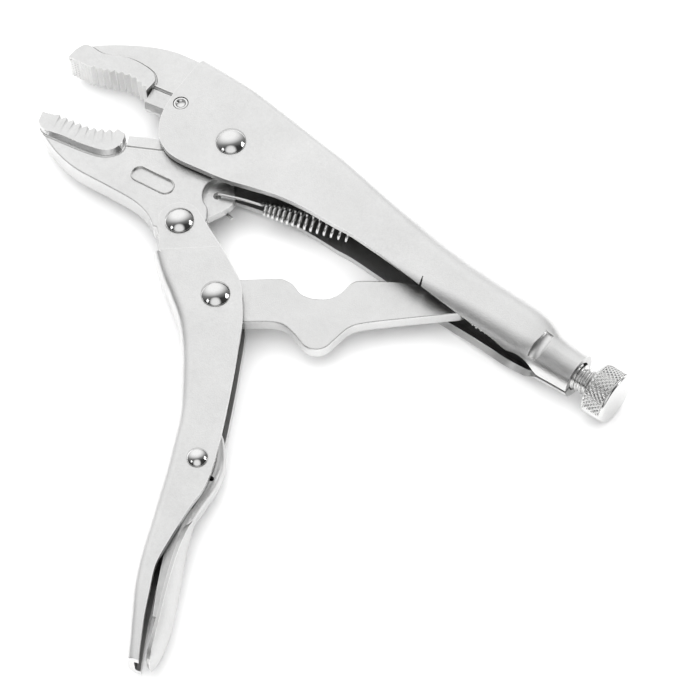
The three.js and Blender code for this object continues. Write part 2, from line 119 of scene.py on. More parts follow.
def smooth(points, steps=8):
    """A Catmull-Rom curve through the points, ends included."""
    result = []
    last = len(points) - 1
    for i in range(last):
        p0, p1, p2, p3 = (points[max(i - 1, 0)], points[i], points[i + 1], points[min(i + 2, last)])
        for k in range(steps):
            result.append(tuple(between(a, b, c, d, k / steps) for a, b, c, d in zip(p0, p1, p2, p3)))
    result.append(tuple(points[-1]))
    return result


def arc(centre, radius, start, end, steps=16):
    """Points on an arc, from one angle in degrees to another."""
    angles = [math.radians(start + (end - start) * i / steps) for i in range(steps + 1)]
    return [(centre[0] + radius * math.cos(a), centre[1] + radius * math.sin(a)) for a in angles]


def toothed(line, count, depth):
    """Teeth with narrow flat crests along a line of points; they stand to its left when depth > 0."""
    crest = 0.12
    steps = [math.dist(a, b) for a, b in zip(line, line[1:])]
    total = sum(steps)

    def at(distance):
        for (a, b), step in zip(zip(line, line[1:]), steps):
            if distance <= step or b is line[-1]:
                t = min(distance / step, 1)
                along = Vector((b[0] - a[0], b[1] - a[1])).normalized()
                return Vector((a[0] + (b[0] - a[0]) * t, a[1] + (b[1] - a[1]) * t)), along
            distance -= step

    points = []
    pitch = total / count
    for i in range(count):
        for share, rise in ((0, 0), (0.5 - crest / 2, 1), (0.5 + crest / 2, 1)):
            place, along = at((i + share) * pitch)
            points.append((place.x - along.y * rise * depth, place.y + along.x * rise * depth))
    points.append(line[-1])
    return points


def pushed_out(line, distance):
    """A line of points moved to its left, less so over the first and last quarter."""
    result = []
    last = len(line) - 1
    for i, (x, y) in enumerate(line):
        before, after = line[max(i - 1, 0)], line[min(i + 1, last)]
        along = Vector((after[0] - before[0], after[1] - before[1])).normalized()
        reach = distance * min(1.0, 4 * i / last, 4 * (last - i) / last)
        result.append((x - along.y * reach, y + along.x * reach))
    return result


# Meshes -------------------------------------------------------------------------------------------

def mesh_object(name, points, faces):
    """A mesh from points in millimetres, with its faces turned to face out."""
    mesh = bpy.data.meshes.new(name)
    mesh.from_pydata([ORIGIN + Vector(p) * MM for p in points], [], faces)
    work = bmesh.new()
    work.from_mesh(mesh)
    bmesh.ops.remove_doubles(work, verts=work.verts, dist=WELD_METRES)
    bmesh.ops.recalc_face_normals(work, faces=work.faces)
    work.to_mesh(mesh)
    work.free()
    piece = bpy.data.objects.new(name, mesh)
    bpy.context.scene.collection.objects.link(piece)
    return piece


def without_repeats(outline, gap=0.02):
    """The outline without points that lie closer than a gap to the one before."""
    kept = []
    for point in outline:
        if not kept or math.dist(point, kept[-1]) > gap:
            kept.append(point)
    return kept if math.dist(kept[0], kept[-1]) > gap else kept[:-1]


def plate(name, outline, low, high):
    """A flat plate between two heights."""
    outline = without_repeats(outline)
    count = len(outline)
    points = [(x, y, z) for z in (low, high) for x, y in outline]
    faces = [tuple(range(count)), tuple(range(count, 2 * count))]
    for i in range(count):
        j = (i + 1) % count
        faces.append((i, j, count + j, count + i))
    return mesh_object(name, points, faces)


def bar(centre, radius, low, high, sides=64):
    """A round bar along the rivets' direction."""
    return plate("bar", arc(centre, radius, 0, 360, sides)[:-1], low, high)


def block(low, high):
    """A box between two corners."""
    outline = [(low[0], low[1]), (high[0], low[1]), (high[0], high[1]), (low[0], high[1])]
    return plate("block", outline, low[2], high[2])


def hole(centre, radius):
    """The cutter for a hole that a rivet or pin of this radius goes through."""
    return bar(centre, radius + RUNNING_GAP, -THROUGH, THROUGH)


def ringed(name, rings, closed=False):
    """A solid through equal rings of points, capped at both ends unless it closes on itself."""
    count = len(rings[0])
    faces = []
    spans = len(rings) if closed else len(rings) - 1
    for i in range(spans):
        first, second = i * count, ((i + 1) % len(rings)) * count
        for j in range(count):
            k = (j + 1) % count
            faces.append((first + j, first + k, second + k, second + j))
    if not closed:
        faces.append(tuple(range(count)))
        faces.append(tuple(range((len(rings) - 1) * count, len(rings) * count)))
    return mesh_object(name, [point for ring in rings for point in ring], faces)


def turned_along_x(name, profile, y, sides=48):
    """A solid turned about a line parallel to X, from (x, radius) pairs, closed by flat ends."""
    rings = []
    for x, radius in profile:
        rings.append([(x, y + b, c) for b, c in arc((0, 0), radius, 0, 360, sides)[:-1]])
    return ringed(name, rings)


def turned(name, profile, sides):
    """A solid turned about the rivets' direction from (radius, height) pairs, radius 0 first and last."""
    points = []
    faces = []
    inner = profile[1:-1]
    for r, z in inner:
        points += [(x, y, z) for x, y in arc((0, 0), r, 0, 360, sides)[:-1]]
    for i in range(len(inner) - 1):
        for j in range(sides):
            k = (j + 1) % sides
            faces.append((i * sides + j, i * sides + k, (i + 1) * sides + k, (i + 1) * sides + j))
    low, high = len(points), len(points) + 1
    points += [(0, 0, profile[0][1]), (0, 0, profile[-1][1])]
    top = (len(inner) - 1) * sides
    for j in range(sides):
        k = (j + 1) % sides
        faces += [(low, j, k), (high, top + j, top + k)]
    return mesh_object(name, points, faces)


def applied(piece):
    """The piece with its modifiers made part of its mesh."""
    graph = bpy.context.evaluated_depsgraph_get()
    mesh = bpy.data.meshes.new_from_object(piece.evaluated_get(graph))
    piece.modifiers.clear()
    piece.data = mesh
    return piece


def combined(piece, tool, operation):
    """The piece joined to, or cut by, a tool that is then gone."""
    change = piece.modifiers.new("combine", "BOOLEAN")
    change.operation = operation
    change.solver = "EXACT"
    change.object = tool
    applied(piece)
    bpy.data.objects.remove(tool)
    return piece


def joined(piece, *others):
    """The piece and the others made one solid."""
    for other in others:
        combined(piece, other, "UNION")
    return piece


def cut(piece, *tools):
    """The piece without what the tools take away."""
    for tool in tools:
        combined(piece, tool, "DIFFERENCE")
    return piece


def cleaned(piece):
    """The piece without the tiny edges that cutting leaves."""
    work = bmesh.new()
    work.from_mesh(piece.data)
    bmesh.ops.remove_doubles(work, verts=work.verts, dist=SHORTEST_EDGE * MM)
    bmesh.ops.dissolve_degenerate(work, edges=work.edges, dist=SHORTEST_EDGE * MM)
    work.to_mesh(piece.data)
    work.free()
    return piece


def softened(piece, width):
    """The piece with its sharp edges rounded."""
    cleaned(piece)
    bevel = piece.modifiers.new("rounded edges", "BEVEL")
    bevel.width = width * MM
    bevel.segments = 2
    bevel.limit_method = "ANGLE"
    bevel.angle_limit = math.radians(SHARP_DEGREES)
    bevel.miter_outer = "MITER_ARC"
    bevel.use_clamp_overlap = True
    return applied(piece)


def shaded(piece, angle=21):
    """The piece shaded smooth, except at edges sharper than the angle in degrees."""
    for face in piece.data.polygons:
        face.use_smooth = True
    piece.data.set_sharp_from_angle(angle=math.radians(angle))
    weights = piece.modifiers.new("even shading", "WEIGHTED_NORMAL")
    weights.keep_sharp = True
    return piece


def rounded(piece, width):
    """The piece with rounded edges and smooth shading."""
    return shaded(softened(piece, width))


def swept(name, route, radius, sides=12, closed=False):
    """A round bar along a line of points, its section carried along without twisting."""
    rings = []
    normal = None
    last = len(route) - 1
    for i, point in enumerate(route):
        if closed:
            before, after = route[i - 1], route[(i + 1) % len(route)]
        else:
            before, after = route[max(i - 1, 0)], route[min(i + 1, last)]
        along = (after - before).normalized()
        if normal is None:
            normal = Vector((0, 0, 1)) if abs(along.z) < 0.9 else along.orthogonal()
        normal = (normal - along * normal.dot(along)).normalized()
        across = along.cross(normal)
        rings.append([point + normal * a + across * b for a, b in arc((0, 0), radius, 0, 360, sides)[:-1]])
    return ringed(name, rings, closed)


# Channels of folded sheet -------------------------------------------------------------------------

def half_section(depth, half, corner, lip, sweep, inset):
    """Half a channel's section, from its open edge to the middle of its back, as (depth, z) pairs."""
    lip_steps = 8
    corner_steps = 10
    points = []
    lip_depth = depth - lip * math.sin(sweep)
    for i in range(lip_steps + 1):
        angle = sweep * (1 - i / lip_steps)
        reach = lip - inset
        points.append((lip_depth + reach * math.sin(angle), half - lip + reach * math.cos(angle)))
    for i in range(corner_steps + 1):
        angle = math.pi / 2 * i / corner_steps
        reach = corner - inset
        points.append((corner - reach * math.sin(angle), half - corner + reach * math.cos(angle)))
    return points


def channel(name, rows, sheet):
    """A channel of folded sheet, plated outside and dull inside, its inside's darker tone being painted
    shade.

    Its rows are (back x, back y, edge x, edge y, half width, corner radius, lip radius, lip sweep), with
    the sweep in degrees.
    """
    steps = 5
    rings = []
    for back_x, back_y, edge_x, edge_y, half, corner, lip, sweep in smooth(rows, steps):
        back = Vector((back_x, back_y))
        run = Vector((edge_x, edge_y)) - back
        outer, inner = (
            half_section(run.length, half, corner, lip, math.radians(sweep), inset) for inset in (0, sheet)
        )
        section = outer + [(d, -z) for d, z in reversed(outer)] + [(d, -z) for d, z in inner] + inner[::-1]
        run.normalize()
        rings.append([(back.x + run.x * d, back.y + run.y * d, z) for d, z in section])
    piece = ringed(name, rings)
    piece.data.materials.append(SATIN)
    piece.data.materials.append(INSIDE_DULL_AND_SHADED)
    count = len(section)
    # Of the faces between two rings, the second half but the last one is the sheet's inside, which takes the
    # darker plate of painted shade.
    for face in piece.data.polygons[:count * (len(rings) - 1)]:
        if count // 2 <= face.index % count < count - 1:
            face.material_index = 1
    return piece


# Materials ----------------------------------------------------------------------------------------

WEAR_RADIUS = 0.0003
GRAIN_METRES = 0.00007
CLOUDS_PER_METRE = 90
POLISHED = (0.76, 0.76, 0.75, 1)


def node_tree(name):
    """A new material with its node tree and its shader."""
    material = bpy.data.materials.new(name)
    material.use_nodes = True
    tree = material.node_tree
    shader = tree.nodes["Principled BSDF"]
    return material, tree, shader


def noise(tree, scale, detail):
    """Noise in the frame's own metres; scale is in cycles per metre."""
    place = tree.nodes.new("ShaderNodeNewGeometry")
    texture = tree.nodes.new("ShaderNodeTexNoise")
    texture.inputs["Scale"].default_value = scale
    texture.inputs["Detail"].default_value = detail
    tree.links.new(place.outputs["Position"], texture.inputs["Vector"])
    return texture.outputs["Fac"]


def spread(tree, source, low, high):
    """Maps the middle of a noise's range to a range of numbers."""
    node = tree.nodes.new("ShaderNodeMapRange")
    node.inputs["From Min"].default_value = 0.3
    node.inputs["From Max"].default_value = 0.7
    node.inputs["To Min"].default_value = low
    node.inputs["To Max"].default_value = high
    tree.links.new(source, node.inputs["Value"])
    return node.outputs["Result"]


def scaled_sum(tree, source, times, plus):
    """A source multiplied by a number and added to a second source."""
    node = tree.nodes.new("ShaderNodeMath")
    node.operation = "MULTIPLY_ADD"
    node.inputs[1].default_value = times
    tree.links.new(source, node.inputs[0])
    tree.links.new(plus, node.inputs[2])
    return node.outputs["Value"]


def worn_edges(tree):
    """One along the edges that handling has polished, zero elsewhere."""
    surface = tree.nodes.new("ShaderNodeNewGeometry")
    averaged = tree.nodes.new("ShaderNodeBevel")
    averaged.samples = 4
    averaged.inputs["Radius"].default_value = WEAR_RADIUS
    bend = tree.nodes.new("ShaderNodeVectorMath")
    bend.operation = "DOT_PRODUCT"
    tree.links.new(surface.outputs["Normal"], bend.inputs[0])
    tree.links.new(averaged.outputs["Normal"], bend.inputs[1])
    worn = tree.nodes.new("ShaderNodeMapRange")
    worn.inputs["From Min"].default_value = 0.99
    worn.inputs["From Max"].default_value = 0.90
    tree.links.new(bend.outputs["Value"], worn.inputs["Value"])
    return worn.outputs["Result"]


def mixed(tree, share):
    """A node that mixes its colours A and B by a share."""
    node = tree.nodes.new("ShaderNodeMix")
    node.data_type = "RGBA"
    tree.links.new(share, node.inputs["Factor"])
    return node


def nickel(name, tone, gloss, gloss_change, grain, grain_depth):
    """Nickel plate: a cloudy tone, uneven gloss, a fine grain and edges polished by handling."""
    material, tree, shader = node_tree(name)
    shader.inputs["Metallic"].default_value = 1.0
    fine = noise(tree, grain, 2)
    worn = worn_edges(tree)

    cloud = spread(tree, noise(tree, CLOUDS_PER_METRE, 4), 0.0, 0.5)
    plate_tone = mixed(tree, scaled_sum(tree, spread(tree, fine, 0.0, 1.0), 0.5, cloud))
    for socket, share in (("A", 0.91), ("B", 1.04)):
        plate_tone.inputs[socket].default_value = (tone * share, tone * share, tone * (share - 0.005), 1)
    polish = mixed(tree, worn)
    polish.inputs["B"].default_value = POLISHED
    tree.links.new(plate_tone.outputs["Result"], polish.inputs["A"])
    tree.links.new(polish.outputs["Result"], shader.inputs["Base Color"])

    rough = spread(tree, noise(tree, grain * 0.35, 3), gloss - gloss_change, gloss + gloss_change)
    tree.links.new(scaled_sum(tree, worn, -0.12, rough), shader.inputs["Roughness"])

    bump = tree.nodes.new("ShaderNodeBump")
    bump.inputs["Strength"].default_value = grain_depth
    bump.inputs["Distance"].default_value = GRAIN_METRES
    tree.links.new(fine, bump.inputs["Height"])
    tree.links.new(bump.outputs["Normal"], shader.inputs["Normal"])
    return material


# name, tone, roughness, its change, grains per metre, depth of grain
SATIN = nickel("satin nickel plate", 0.66, 0.33, 0.05, 3000, 0.65)
# The inside plate is rougher than the satin plate; its darker tone is painted shade for the channels'
# hollows.
INSIDE_DULL_AND_SHADED = nickel("dull plate inside the channels, darkened as painted shade", 0.36, 0.48, 0.06, 2600, 0.95)
FORGED = nickel("satin nickel plate on forgings", 0.67, 0.34, 0.06, 2600, 0.70)
BRIGHT = nickel("bright nickel plate", 0.70, 0.09, 0.02, 6000, 0.05)
MACHINED = nickel("bright machined nickel", 0.64, 0.20, 0.05, 7000, 0.12)
# The release lever's plate is a little rougher than the satin plate; its darker tone is painted shade where
# the lever handle shades it.
RELEASE_PAINTED_SHADE = nickel("nickel plate darkened as painted shade", 0.58, 0.38, 0.06, 2600, 0.80)
SPRING_WIRE = nickel("plated spring wire", 0.86, 0.22, 0.04, 8000, 0.08)


def finished(piece, body, node, slot, *materials):
    """Sets the piece's look, hangs it on the body it rides on and hides the CAD node it stands for."""
    for material in materials:
        piece.data.materials.append(material)
    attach(piece, body)
    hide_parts(node)
    return piece


# Upper handle -------------------------------------------------------------------------------------

def pressed_band(side):
    """The cutter for the band pressed across one wall of the handle just before its neck."""
    band_x = 102.9
    middle_y = -2.1
    tube_radius = 6.35
    depth = 0.55
    roundness = 2.1
    steps = 24
    route = []
    for i in range(steps + 1):
        angle = math.radians(22 - 66 * i / steps)
        out = tube_radius + roundness - depth * math.sin(math.pi * i / steps)
        route.append(Vector((band_x, middle_y + out * math.sin(angle), side * out * math.cos(angle))))
    return swept("band", route, roundness, 32)


def upper_handle():
    """A channel that closes into a tube and a neck, trimmed at the front, with the spring's anchor."""
    rows = [
        # x, y of the back, y of the open edge, half width, corner radius, lip radius, lip sweep
        (-25, 17.5, -15, 5.5, 2.8, 2.8, 3),
        (-8, 17.7, -15, 5.5, 2.8, 2.8, 3),
        (4, 16.5, -15, 5.6, 2.8, 2.8, 3),
        (16, 15.0, -15, 6.0, 3.0, 2.8, 3),
        (28, 13.5, -8, 6.6, 3.3, 2.8, 3),
        (40, 11.6, -5.4, 7.0, 4.2, 2.8, 3),
        (50, 10.3, -5.5, 7.0, 5.0, 3.0, 5),
        (60, 9.2, -6.4, 7.0, 5.9, 4.0, 16),
        (70, 8.4, -7.3, 7.0, 6.6, 5.0, 32),
        (80, 8.0, -7.8, 7.0, 6.9, 6.0, 44),
        (90, 7.7, -8.2, 7.0, 6.9, 6.4, 50),
        (95, 7.5, -8.7, 6.9, 6.8, 6.6, 56),
        (98.5, 7.0, -8.3, 6.8, 6.7, 6.5, 52),
        (101.5, 6.0, -8.3, 6.6, 6.5, 6.4, 58),
        (104, 4.8, -8.4, 6.4, 6.3, 6.25, 80),
        (105.5, 4.3, -8.4, 6.3, 6.2, 6.2, 86),
        (109, 3.8, -8.2, 6.0, 5.95, 5.95, 86),
        (113.6, 3.6, -8.0, 5.8, 5.75, 5.75, 86),
    ]
    rows = [(x, back, x, edge, *rest) for x, back, edge, *rest in rows]
    shell = channel("upper_handle_shell", rows, HANDLE_SHEET)
    # The walls' front and lower edges, drawn on an outline that leaves the rest of the channel alone.
    trimmed = (
        [(-22.9, 20)]
        + smooth([(-22.9, 13.5), (-22.6, 8), (-22.0, 2), (-20.3, -4.2), (-16.9, -9.4), (-12.5, -12.0),
                  (-8, -12.5), (-2, -11.7), (6, -10.4), (14, -8.2), (21, -6.5), (30, -5.6), (45, -5.4)])
        + [(45, -20), (130, -20), (130, 20)]
    )
    combined(shell, plate("trimmed", trimmed, -THROUGH, THROUGH), "INTERSECT")
    bore_radius = SCREW_RADIUS + RUNNING_GAP
    bore = turned_along_x("bore", [(98, bore_radius), (120, bore_radius)], SCREW_Y)
    cut(
        shell,
        hole(JAW_PIVOT, RIVET_RADIUS),
        hole(STAKE_PIN, SMALL_RIVET_RADIUS),
        bore,
        pressed_band(1),
        pressed_band(-1),
        plate("nick", [(66.5, -4.7), (66.8, -4.6), (68.3, -8.0), (67.5, -8.2)], 3, 9),
    )
    spring_anchor = block((57.4, 2.4, -1.2), (58.8, 8.6, 1.2))
    return rounded(joined(shell, spring_anchor), 0.28)


finished(upper_handle(), "upper_body", "upper_handle", "satin_nickel")


# Jaws ---------------------------------------------------------------------------------------------

LAND_HALF = 2.6
EDGE_WIDTH = 0.12


def cutter(start, end, height):
    """A wire cutter from one point to another: a blunt edge, a steep bevel and a flat land below it."""
    edge_half = 0.2
    bevel_height = 0.7
    bevel_half = 2.35
    root = 2
    run = Vector((end[0] - start[0], end[1] - start[1], 0))
    forward = run.normalized()
    down = Vector((0, 0, 1)).cross(forward)
    half = [(0, edge_half), (bevel_height, bevel_half), (height, LAND_HALF), (height + root, LAND_HALF)]
    section = half + [(d, -z) for d, z in reversed(half)]
    rings = [
        [Vector((*start, 0)) + forward * along + down * d + Vector((0, 0, z)) for d, z in section]
        for along in (0, run.length)
    ]
    return ringed("cutter", rings)


def grooves(start, end):
    """Cutters for the groove on each side where a cutter's land meets the jaw."""
    radius = 0.5
    sides = 16
    heights = (-LAND_HALF, LAND_HALF)
    return [swept("groove", [Vector((*start, z)), Vector((*end, z))], radius, sides) for z in heights]


def tooth_block(teeth, back, slope):
    """The wide block that carries the teeth; its back slopes out to the jaw's narrower sides."""
    foot_half = JAW_HALF - 0.1
    foot = teeth + pushed_out(back, slope)
    crest = teeth + back
    rings = []
    for outline, z in ((crest, -TOOTH_HALF), (foot, -foot_half), (foot, foot_half), (crest, TOOTH_HALF)):
        rings.append([(x, y, z) for x, y in outline])
    return ringed("block", rings)


def foot_grooves(back, slope):
    """Cutters for the fine groove on each side at the foot of the block's slope, short of its ends."""
    radius = 0.4
    foot = pushed_out(back, slope + 0.1)[3:-3]
    return [swept("groove", [Vector((x, y, z)) for x, y in foot], radius) for z in (-JAW_HALF, JAW_HALF)]


def cross_grooves(start, end):
    """Cutters for fine grooves across the small teeth at the nose, spread over the block's width."""
    count = 8
    radius = 0.28
    sides = 9
    step = 2 * TOOTH_HALF / count
    heights = [step * (i + 0.5) - TOOTH_HALF for i in range(count)]
    return [swept("groove", [Vector((*start, z)), Vector((*end, z))], radius, sides) for z in heights]


def forged(name, outline):
    """A jaw's plate with the soft edges of a forging."""
    edge_radius = 0.4
    return softened(plate(name, outline, -JAW_HALF, JAW_HALF), edge_radius)


def tooth_marks(line, count):
    """Round cutters that leave a shallow furrow down the tooth block's side under each tooth gap."""
    radius = 1.3
    sunk = 0.26
    above, below = 1.5, 4.6
    run_out = Vector((0, 0, 0.2))
    sides = 31  # with 48 sides the boolean left open edges
    steps = [math.dist(a, b) for a, b in zip(line, line[1:])]
    marks = []
    for i in range(1, count):
        distance = sum(steps) * i / count
        k = 0
        while distance > steps[k]:
            distance -= steps[k]
            k += 1
        along = Vector((line[k + 1][0] - line[k][0], line[k + 1][1] - line[k][1], 0)).normalized()
        place = Vector((*line[k], TOOTH_HALF + radius - sunk)) + along * distance
        down = Vector((along.y, -along.x, 0))
        marks.append(swept("mark", [place - down * above, place + down * below + run_out], radius, sides))
    return marks


def upper_jaw():
    """The fixed jaw: coarse teeth, finer ones at the nose and one half of the wire cutter."""
    nose = (-53.5, -3.4)
    coarse_end = (-46.5, -2.6)
    slope = 0.4
    tooth_line = smooth([(-29.4, 0.3), (-34, 1.3), (-38.5, 0.5), (-42.5, -1.3), coarse_end])
    teeth = toothed(tooth_line, 9, -0.85) + toothed([coarse_end, nose], 8, -0.38)[1:]
    back = smooth([(-53.6, -0.6), (-52.2, 2.8), (-47.5, 2.9), (-44.6, 3.8), (-40.7, 5.7), (-36.6, 6.4),
                   (-32.3, 6.1), (-29.8, 4.6), (-29.4, 2.8)], 5)
    body = (
        [nose]
        + smooth([(-53.6, -0.6), (-52, 3.2), (-47.5, 7.2), (-42, 10.9), (-36.5, 13.8), (-31, 15.7),
                  (-23.4, 16.8)])
        + [(-23.2, 15.0), (-4, 14.2)]
        + arc(JAW_PIVOT, 8.7, 117, 172)
        + [(-16.5, 5.2), (-29.6, 3.0), (-30.4, 4.6), (-46, -1)]
    )
    forging = joined(
        forged("upper_jaw_forging", body),
        cut(tooth_block(teeth, back, slope), *cross_grooves((-54.2, -3.5), (-50.0, -3.02))),
        cutter((-28.2, -2.4), (-16.9, -0.3), 5.6),
    )
    cut(
        forging,
        *foot_grooves(back, slope),
        *grooves((-29.6, 3.1), (-16.5, 5.4)),
        hole(STAKE_PIN, SMALL_RIVET_RADIUS),
    )
    return rounded(forging, EDGE_WIDTH)


def lower_jaw():
    """The moving jaw: its teeth, its half of the cutter, the oval recess and the spring's thin tab."""
    tip = (-47.5, -21.2)
    coarse_start = (-44.2, -20.1)
    slope = 1.2
    tooth_line = smooth([coarse_start, (-39.5, -19.3), (-34.3, -18.4), (-29.8, -16.4), (-26.2, -13.7)])
    teeth = toothed([tip, coarse_start], 4, 0.35) + toothed(tooth_line, 9, 0.85)[1:]
    back = smooth([(-25.2, -13.6), (-24.2, -15.6), (-24.0, -17.6), (-24.6, -19.4), (-26.6, -21.2),
                   (-31.2, -22.6), (-38.9, -24.0), (-43.5, -25.2), (-46.4, -24.2)], 5)
    body = (
        [(-46.9, -22.4)]
        + smooth([(-46.2, -24.6), (-41.4, -26.8), (-36, -28.6), (-29, -29.5), (-18.7, -28.8), (-10.5, -28.4),
                  (-5, -29.4), (-0.9, -31.6)])
        + arc(LEVER_PIVOT, 6.2, 220, 400, 32)
        + smooth([(9.0, -21.6), (6.9, -18.8), (4.5, -17.5), (2.7, -15.3), (2.2, -12.6), (3.1, -10.0),
                  (5.6, -7.0)])
        + arc(JAW_PIVOT, 7.4, -35, 205, 48)
        + [(-11.4, -9.9), (-22.6, -15.8), (-26.6, -17.5), (-44, -22)]
    )
    tab_half = 1.2
    tab = [(0, -9), (8.0, -8.8)] + arc((6.5, -13.4), 4.1, 66, -20) + [(9.6, -17.0), (8.0, -20.6), (0, -22)]
    hook_hole = bar((5.8, -13.5), 1.1, -5, 5, 32)
    tilt = 6
    oval_radius = 2.2
    reach = Vector((math.cos(math.radians(tilt)), math.sin(math.radians(tilt)))) * 4.0
    middle = Vector((-10.3, -20.4))
    oval = (
        arc(middle + reach, oval_radius, tilt - 90, tilt + 90)
        + arc(middle - reach, oval_radius, tilt + 90, tilt + 270)
    )
    rim = [Vector((*point, JAW_HALF)) for point in without_repeats(oval, 0.2)]
    forging = joined(
        forged("lower_jaw_forging", body),
        cut(tooth_block(teeth, back, slope), *tooth_marks(tooth_line, 9)),
        plate("tab", tab, -tab_half, tab_half),
        swept("rim", rim, 0.32, 8, closed=True),
        cutter((-15.4, -7.1), (-25.0, -12.1), 4.5),
    )
    cut(
        forging,
        plate("recess", oval, JAW_HALF - 0.35, JAW_HALF + 1),
        *foot_grooves(back, slope),
        *grooves((-13.4, -11.1), (-22.8, -16.0)),
        hole(JAW_PIVOT, RIVET_RADIUS),
        hole(LEVER_PIVOT, RIVET_RADIUS),
        hook_hole,
    )
    return rounded(forging, EDGE_WIDTH)


finished(upper_jaw(), "upper_body", "upper_jaw", "forged_nickel", FORGED)
finished(lower_jaw(), "lower_jaw_body", "lower_jaw", "forged_nickel", FORGED)


# Lever handle, toggle link and release lever ------------------------------------------------------

LEVER_HALF = 5.4
RELEASE_HALF = 2.95


def straight_channel(name, rows, sheet):
    """A channel with plain edges through rows of (back x, back y, edge x, edge y, half width, corner)."""
    lip = sheet + 0.6
    sweep = 3
    return channel(name, [(*row, lip, sweep) for row in rows], sheet)


def lever_handle():
    """A channel open towards the upper handle, with two ears that straddle the lower jaw."""
    rows = [
        (4.6, -38.2, 18.3, -27.0, LEVER_HALF, 3.2),
        (10.5, -42.6, 28.6, -32.3, LEVER_HALF, 3.2),
        (16.9, -46.6, 32.6, -36.2, LEVER_HALF, 3.2),
        (22.6, -50.6, 37.0, -41.6, LEVER_HALF, 3.2),
        (28.3, -56.2, 41.4, -49.0, LEVER_HALF, 3.2),
        (33.7, -62.9, 46.1, -57.2, LEVER_HALF, 3.2),
        (39.9, -71.3, 51.2, -66.6, LEVER_HALF, 3.2),
        (44.3, -79.6, 56.8, -77.6, LEVER_HALF, 3.2),
        (47.5, -86.0, 59.3, -84.6, LEVER_HALF, 3.2),
        (50.3, -92.2, 60.0, -91.4, LEVER_HALF, 3.2),
        (54.3, -100.9, 61.5, -100.6, LEVER_HALF, 3.0),
        (57.9, -108.7, 63.2, -108.4, LEVER_HALF, 2.8),
        (61.8, -115.8, 66.8, -115.4, 5.3, 2.7),
        (66.0, -121.9, 70.0, -121.3, 5.0, 2.6),
        (70.0, -127.7, 73.4, -126.8, 4.6, 2.6),
        (72.6, -131.6, 75.8, -130.6, 4.2, 2.6),
    ]
    shell = straight_channel("lever_handle_shell", rows, LEVER_SHEET)
    ear = (
        [(12.0, -38.0), (20.2, -28.4), (18.4, -27.0)]
        + arc(LEVER_PIVOT, 5.7, 60, 200, 32)
        + [(6.0, -37.4)]
    )
    ear_outer = EAR_INNER + LEVER_SHEET
    joined(shell, plate("ear", ear, EAR_INNER, ear_outer), plate("ear", ear, -ear_outer, -EAR_INNER))
    cut(
        shell,
        hole(LEVER_PIVOT, RIVET_RADIUS),
        hole(TOGGLE_PIVOT, RIVET_RADIUS),
        hole(RELEASE_PIVOT, SMALL_RIVET_RADIUS),
    )
    return rounded(shell, 0.22)


def toggle_link():
    """A flat wavy bar, rounded at the end that bears on the screw."""
    outline = (
        arc(TOGGLE_PIVOT, 6.4, 120, 290, 32)
        + [(35.9, -40.0)]
        + smooth([(35.9, -40.0), (41.0, -36.3), (44.4, -34.8), (48.0, -35.2), (51.5, -36.2)])
        + arc((53.2, -32.0), 4.6, -110, 0, 16)
        + smooth([(58.1, -29.3), (58.8, -25.6), (61.2, -22.2), (69.2, -14.6)])
        + arc((76.3, -3.4), 3.5, -40, 120, 24)
        + smooth([(60.6, -7.1), (53.0, -12.2), (51.1, -14.4), (50.6, -18.4), (49.2, -21.6), (45.8, -24.0),
                  (42.4, -24.7), (38.8, -23.6), (35.6, -23.9)])
    )
    link = plate("toggle_link_bar", outline, -TOGGLE_HALF, TOGGLE_HALF)
    return rounded(cut(link, hole(TOGGLE_PIVOT, RIVET_RADIUS)), 0.3)


def thumb_pad():
    """The release lever's leaf-shaped pad: a sheet bowed across its width, narrow at the stem."""
    rows = smooth([
        # x, y, half width
        (61.4, -91.5, 1.2), (62.9, -95.0, 3.0), (66.3, -101.6, 4.7), (70.9, -109.5, 5.9),
        (74.9, -116.9, 6.2), (77.3, -122.6, 5.8), (78.2, -126.4, 4.9), (78.3, -128.2, 3.8),
        (78.2, -129.2, 2.4), (78.1, -129.6, 0.8),
    ], 4)
    sheet = 1.2
    bow = 0.062
    inner_width = 0.94
    steps = 14
    rings = []
    for i, (x, y, half) in enumerate(rows):
        before, after = rows[max(i - 1, 0)], rows[min(i + 1, len(rows) - 1)]
        along = Vector((after[0] - before[0], after[1] - before[1])).normalized()
        inward = Vector((along.y, -along.x))
        section = []
        for inset in (0, sheet):
            for k in range(steps + 1):
                z = half * (1 - 2 * k / steps) * (1 if inset == 0 else inner_width)
                section.append((inset + bow * z * z, z))
        outer, inner = section[:steps + 1], section[steps + 1:]
        rings.append([(x + inward.x * d, y + inward.y * d, z) for d, z in outer + inner[::-1]])
    return ringed("thumb_pad", rings)


